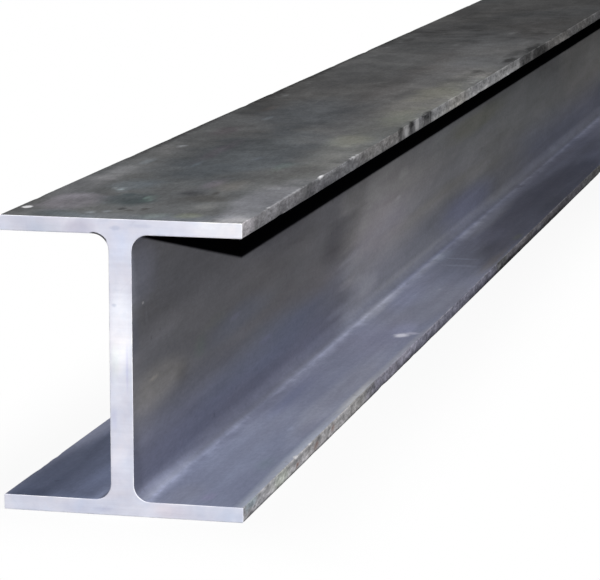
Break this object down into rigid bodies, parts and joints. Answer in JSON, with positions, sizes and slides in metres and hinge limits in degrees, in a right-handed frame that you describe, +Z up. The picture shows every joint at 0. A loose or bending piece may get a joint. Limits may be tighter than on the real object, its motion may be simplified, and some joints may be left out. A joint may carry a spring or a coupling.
{
  "type": "steel i-beam",
  "caption": "Bar of hot-rolled steel I-beam with wide parallel flanges, an upright web with rounded roots, dark mill scale and bright square-sawn ends.",
  "frame": {"origin": "middle of the underside of the bottom flange, half-way along the bar", "axes": "+Y along the bar, +Z up through the web, +X across the flanges"},
  "size_m": [0.166, 3, 0.2],
  "materials": {
    "mill_steel": "dark blue-grey mill scale on the rolled faces, bright sawn steel on the ends"
  },
  "bodies": {
    "root": {"rolled_beam": "mill_steel"}
  },
  "joints": []
}
